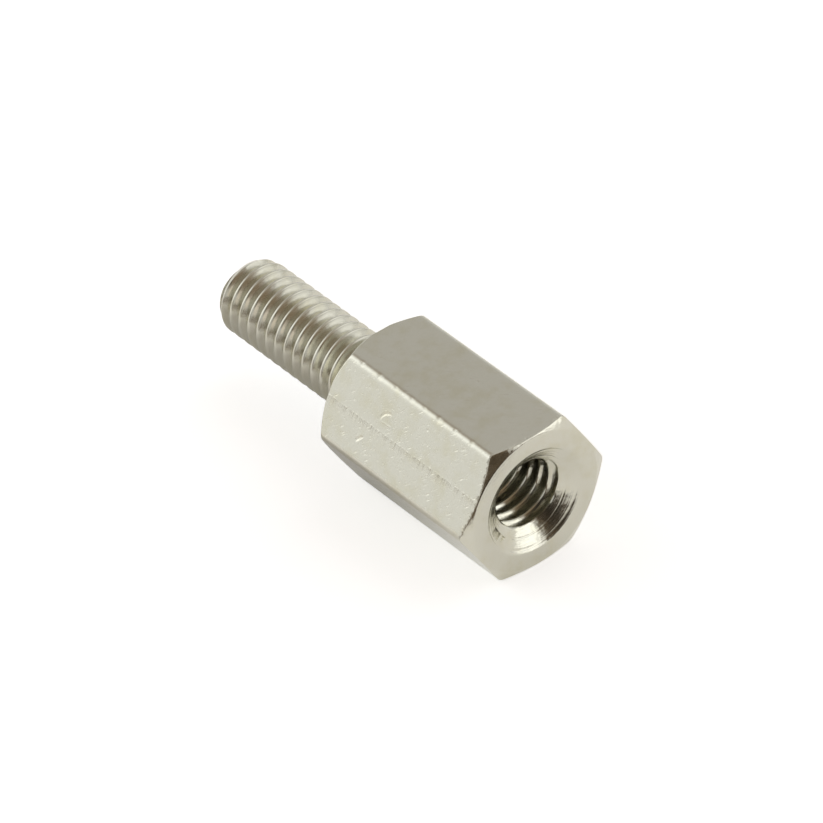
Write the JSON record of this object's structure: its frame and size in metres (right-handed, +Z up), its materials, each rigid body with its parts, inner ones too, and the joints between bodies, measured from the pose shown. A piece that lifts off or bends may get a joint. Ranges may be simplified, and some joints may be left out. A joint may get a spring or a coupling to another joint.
{
  "type": "hex standoff",
  "caption": "Short metal hex standoff with a threaded stud at one end and a countersunk tapped hole at the other, for holding a circuit board clear of a panel.",
  "frame": {"origin": "on the stud's axis, in the plane of the shoulder that seats on the panel", "axes": "+X along the axis out of the tapped hole, -X out of the stud, +Z up from the flat that it lies on"},
  "size_m": [0.0157, 0.0062, 0.0056],
  "materials": {
    "nickel_plating": "bright nickel plating on turned brass, lightly worn"
  },
  "bodies": {
    "root": {"standoff": "nickel_plating"}
  },
  "joints": []
}
